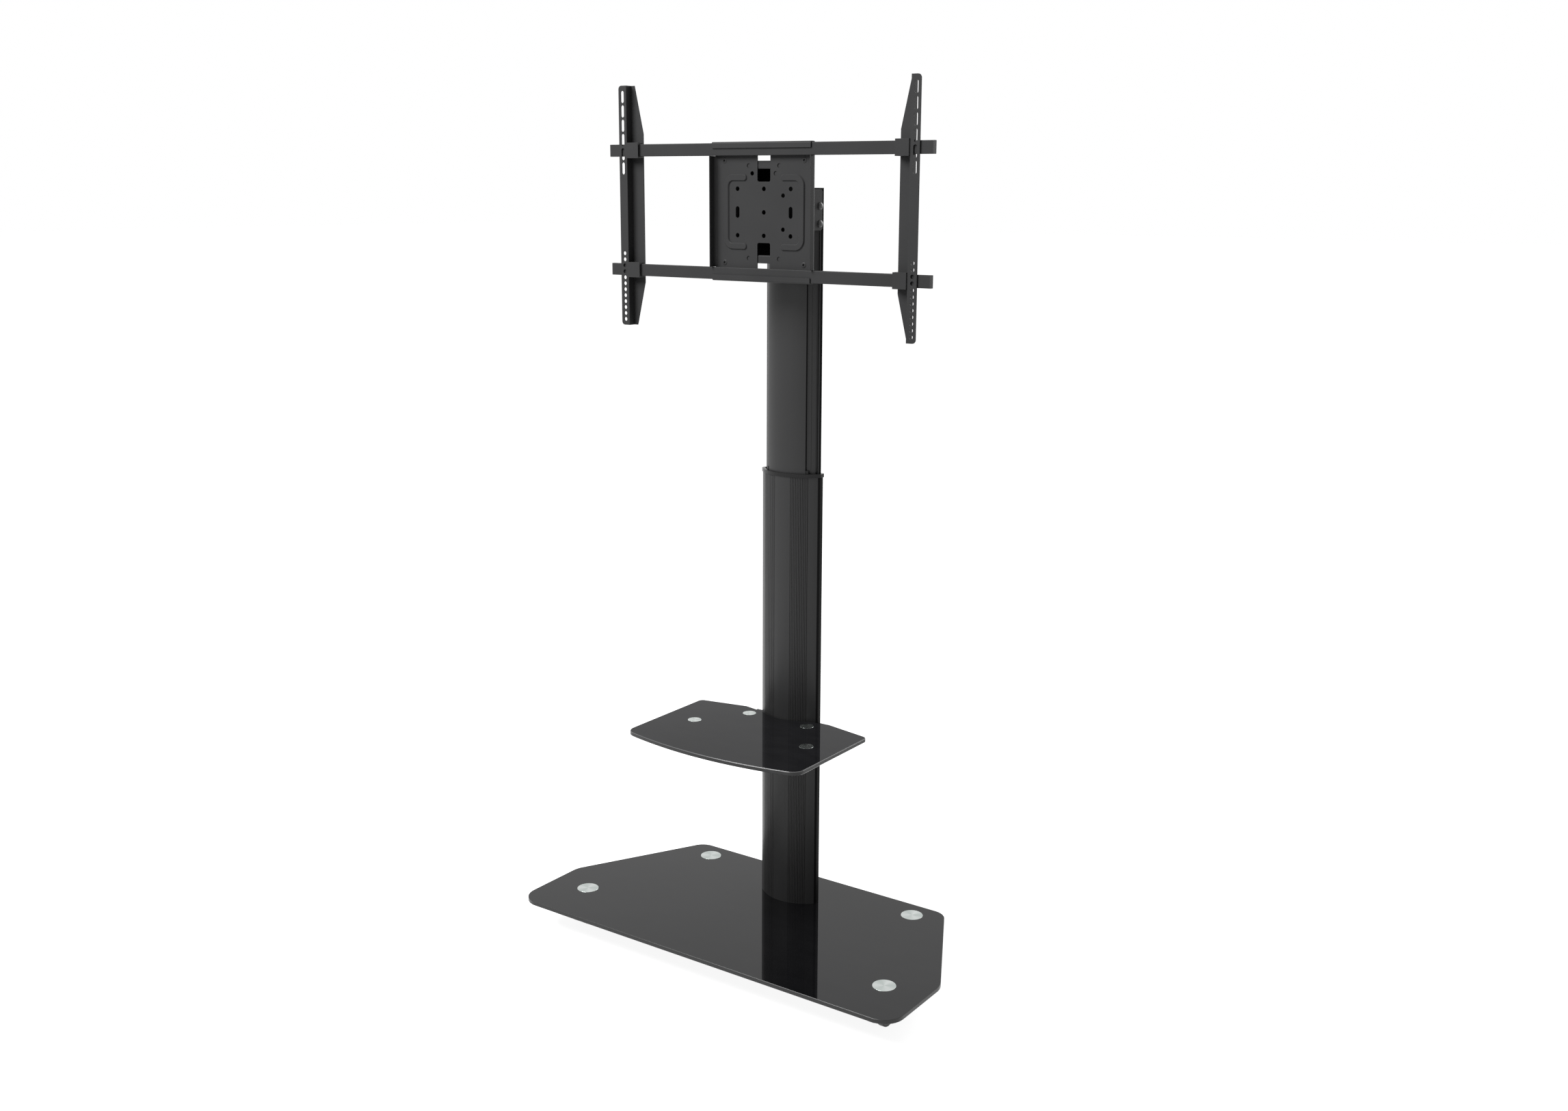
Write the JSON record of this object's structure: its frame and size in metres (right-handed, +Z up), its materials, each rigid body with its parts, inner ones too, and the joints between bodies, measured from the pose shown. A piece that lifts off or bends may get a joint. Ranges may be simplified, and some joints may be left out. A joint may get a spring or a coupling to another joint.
{
  "type": "tv stand with mount",
  "caption": "Wheeled floor stand for a flat screen: black glass base on castors, telescopic curved column, glass shelf, and a centre plate with rails and sliding brackets.",
  "frame": {"origin": "on the floor, under the middle of the stand's outer box at rest", "axes": "+X to the right as seen from the front, +Y to the back, +Z up; the screen faces -Y"},
  "size_m": [1.063, 0.524, 2.0056],
  "materials": {
    "black_glass": "gloss",
    "cap_metal": "brushed",
    "gasket": "matte",
    "hardware": "satin",
    "castor_plastic": "satin",
    "wheel_plastic": "satin",
    "axle_steel": "bright",
    "black_steel": "satin powder coat",
    "column_metal": "satin black",
    "foot_metal": "mill",
    "cover_plastic": "satin",
    "glide_plastic": "natural",
    "saddle_metal": "satin black",
    "rail_steel": "satin powder coat",
    "black_screws": "black oxide",
    "zinc_nuts": "zinc"
  },
  "bodies": {
    "base": {"base_glass": "black_glass", "base_caps": "cap_metal", "base_cap_gaskets": "gasket", "castor_stems": "hardware", "base_plate": "black_steel", "base_pad": "gasket", "base_bolts": "hardware", "column_foot": "foot_metal", "lower_column": "column_metal", "rear_cover": "cover_plastic", "collar": "column_metal", "clamp_plate": "black_steel", "clamp_screws": "hardware"},
    "mast": {"upper_column": "column_metal", "column_top_cap": "cover_plastic", "glide_band": "glide_plastic", "saddle": "saddle_metal", "saddle_bolts": "hardware", "nut_plate": "hardware", "head_screws": "black_screws", "head_cheek_left": "black_steel", "head_cheek_right": "black_steel", "head_flange_top": "black_steel", "head_flange_bottom": "black_steel", "head_channel": "black_steel", "centre_plate": "black_steel", "plate_studs": "black_screws", "plate_nuts": "zinc_nuts", "corner_screws": "black_screws", "rail_top": "rail_steel", "rail_bottom": "rail_steel", "rail_end_plugs": "cover_plastic"},
    "left_bracket": {"screen_bracket_left": "black_steel", "rail_bushings_left": "cover_plastic", "rail_clips_left": "black_steel"},
    "right_bracket": {"screen_bracket_right": "black_steel", "rail_bushings_right": "cover_plastic", "rail_clips_right": "black_steel"},
    "shelf": {"shelf_glass": "black_glass", "shelf_caps": "cap_metal", "shelf_pads": "gasket", "shelf_bracket": "black_steel", "shelf_bolts": "hardware", "shelf_hub": "saddle_metal", "shelf_clamp": "saddle_metal", "shelf_clamp_screws": "hardware"},
    "castor_front_left": {"castor_hood_front_left": "castor_plastic"},
    "wheels_front_left": {"castor_wheels_front_left": "wheel_plastic", "castor_axle_front_left": "axle_steel"},
    "castor_front_right": {"castor_hood_front_right": "castor_plastic"},
    "wheels_front_right": {"castor_wheels_front_right": "wheel_plastic", "castor_axle_front_right": "axle_steel"},
    "castor_rear_left": {"castor_hood_rear_left": "castor_plastic"},
    "wheels_rear_left": {"castor_wheels_rear_left": "wheel_plastic", "castor_axle_rear_left": "axle_steel"},
    "castor_rear_right": {"castor_hood_rear_right": "castor_plastic"},
    "wheels_rear_right": {"castor_wheels_rear_right": "wheel_plastic", "castor_axle_rear_right": "axle_steel"}
  },
  "joints": [
    {"name": "column_height", "type": "slide", "parent": "base", "child": "mast", "axis": [0, 0, 1], "range_m": [-0.4, 0.1]},
    {"name": "shelf_height", "type": "slide", "parent": "base", "child": "shelf", "axis": [0, 0, 1], "range_m": [-0.3, 0.45]},
    {"name": "left_bracket_slide", "type": "slide", "parent": "mast", "child": "left_bracket", "axis": [-1, 0, 0], "range_m": [-0.2, 0.028]},
    {"name": "right_bracket_slide", "type": "slide", "parent": "mast", "child": "right_bracket", "axis": [1, 0, 0], "range_m": [-0.2, 0.028]},
    {"name": "swivel_front_left", "type": "hinge", "parent": "base", "child": "castor_front_left", "pos_m": [-0.4305, -0.1254, 0.065], "axis": [0, 0, 1], "continuous": true},
    {"name": "roll_front_left", "type": "hinge", "parent": "castor_front_left", "child": "wheels_front_left", "pos_m": [-0.4305, -0.1394, 0.0275], "axis": [1, 0, 0], "continuous": true},
    {"name": "swivel_front_right", "type": "hinge", "parent": "base", "child": "castor_front_right", "pos_m": [0.4305, -0.1254, 0.065], "axis": [0, 0, 1], "continuous": true},
    {"name": "roll_front_right", "type": "hinge", "parent": "castor_front_right", "child": "wheels_front_right", "pos_m": [0.4305, -0.1394, 0.0275], "axis": [1, 0, 0], "continuous": true},
    {"name": "swivel_rear_left", "type": "hinge", "parent": "base", "child": "castor_rear_left", "pos_m": [-0.303, 0.2107, 0.065], "axis": [0, 0, 1], "continuous": true},
    {"name": "roll_rear_left", "type": "hinge", "parent": "castor_rear_left", "child": "wheels_rear_left", "pos_m": [-0.303, 0.1967, 0.0275], "axis": [1, 0, 0], "continuous": true},
    {"name": "swivel_rear_right", "type": "hinge", "parent": "base", "child": "castor_rear_right", "pos_m": [0.303, 0.2107, 0.065], "axis": [0, 0, 1], "continuous": true},
    {"name": "roll_rear_right", "type": "hinge", "parent": "castor_rear_right", "child": "wheels_rear_right", "pos_m": [0.303, 0.1967, 0.0275], "axis": [1, 0, 0], "continuous": true}
  ]
}
